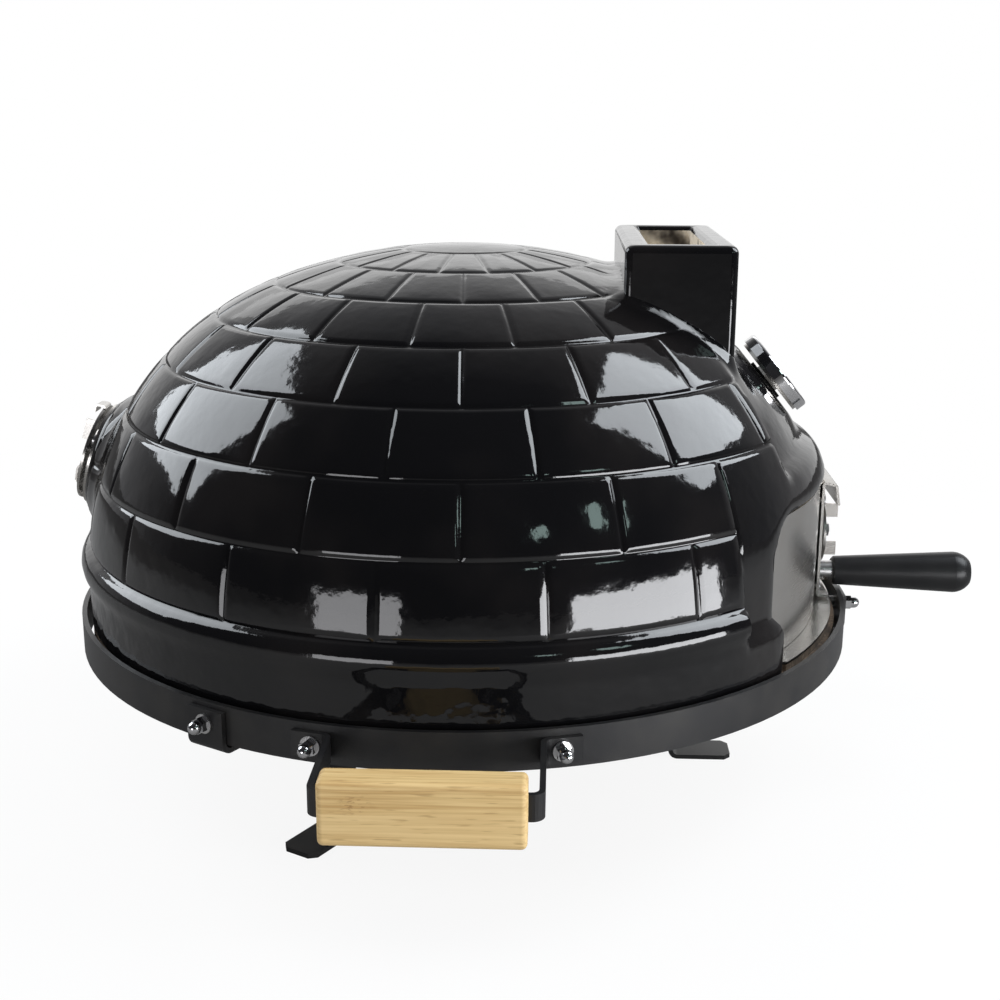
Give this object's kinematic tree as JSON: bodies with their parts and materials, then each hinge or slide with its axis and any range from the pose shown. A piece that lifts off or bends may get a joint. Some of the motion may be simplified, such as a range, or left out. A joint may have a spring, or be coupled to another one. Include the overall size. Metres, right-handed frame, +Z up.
{
  "type": "countertop pizza oven",
  "caption": "Countertop pizza oven: glazed ceramic dome with brick relief and chimney on a banded base with legs, side handles, lift-off door, vents and thermometer.",
  "frame": {"origin": "on the surface the feet stand on, under the middle of the whole object in plan", "axes": "+Z up, -Y out of the door, +X to the right of someone who faces the door; the dome's axis lies a little behind the origin"},
  "size_m": [0.656, 0.5953, 0.354],
  "materials": {
    "black_glaze": "high gloss black glaze",
    "refractory": "dark fired refractory",
    "baking_stone": "fine grained cordierite",
    "powder_coat": "matt black powder coat",
    "stainless": "polished stainless sheet",
    "bright_zinc": "bright plated",
    "bamboo": "oiled bamboo",
    "chrome": "polished",
    "seal": "black seal",
    "dial_white": "matt white",
    "pointer_black": "matt black",
    "dial_glass": "clear",
    "black_handle": "moulded, semi gloss"
  },
  "bodies": {
    "oven": {"dome": "black_glaze", "base_slab": "refractory", "base_band": "powder_coat", "floor_plate": "stainless", "pizza_stone": "baking_stone", "leg_front": "powder_coat", "leg_rear_left": "powder_coat", "leg_rear_right": "powder_coat", "leg_bolts": "bright_zinc", "leg_washers": "bright_zinc", "leg_nuts": "bright_zinc", "left_front_bracket": "powder_coat", "left_rear_bracket": "powder_coat", "right_front_bracket": "powder_coat", "right_rear_bracket": "powder_coat", "left_grip": "bamboo", "right_grip": "bamboo", "grip_screws": "bright_zinc", "bracket_bolts": "bright_zinc", "bracket_washers": "bright_zinc", "bracket_nuts": "bright_zinc", "thermometer_gasket": "seal", "thermometer_case": "chrome", "thermometer_bezel": "chrome", "thermometer_dial": "dial_white", "thermometer_glass": "dial_glass", "thermometer_stem": "bright_zinc", "thermometer_nut": "bright_zinc", "rear_vent_plate": "stainless", "rear_vent_screws": "bright_zinc", "rear_vent_spacer": "bright_zinc", "rear_vent_pivot": "bright_zinc", "rear_vent_nut": "bright_zinc"},
    "door": {"door_panel": "stainless", "door_vent_plate": "stainless", "door_vent_rivets": "bright_zinc", "door_vent_spacer": "bright_zinc", "door_pivot": "bright_zinc", "door_vent_nut": "bright_zinc", "door_handle_stud": "bright_zinc", "door_handle_ferrule": "bright_zinc", "door_handle": "black_handle", "door_handle_nut": "bright_zinc"},
    "door_damper": {"door_damper": "stainless"},
    "rear_damper": {"rear_vent_damper": "stainless"},
    "pointer": {"thermometer_pointer": "pointer_black"}
  },
  "joints": [
    {"name": "door_pull", "type": "slide", "parent": "oven", "child": "door", "axis": [0, -1, 0], "range_m": [0, 0.25]},
    {"name": "door_damper_turn", "type": "hinge", "parent": "door", "child": "door_damper", "pos_m": [0, -0.1912, 0.162], "axis": [0, -1, 0], "continuous": true},
    {"name": "rear_damper_turn", "type": "hinge", "parent": "oven", "child": "rear_damper", "pos_m": [0, 0.27329, 0.20482], "axis": [0, 0.9548, 0.2974], "continuous": true},
    {"name": "thermometer_turn", "type": "hinge", "parent": "oven", "child": "pointer", "pos_m": [0, -0.16229, 0.26724], "axis": [0, -0.7771, 0.6293], "range_deg": [-225, 45]}
  ]
}
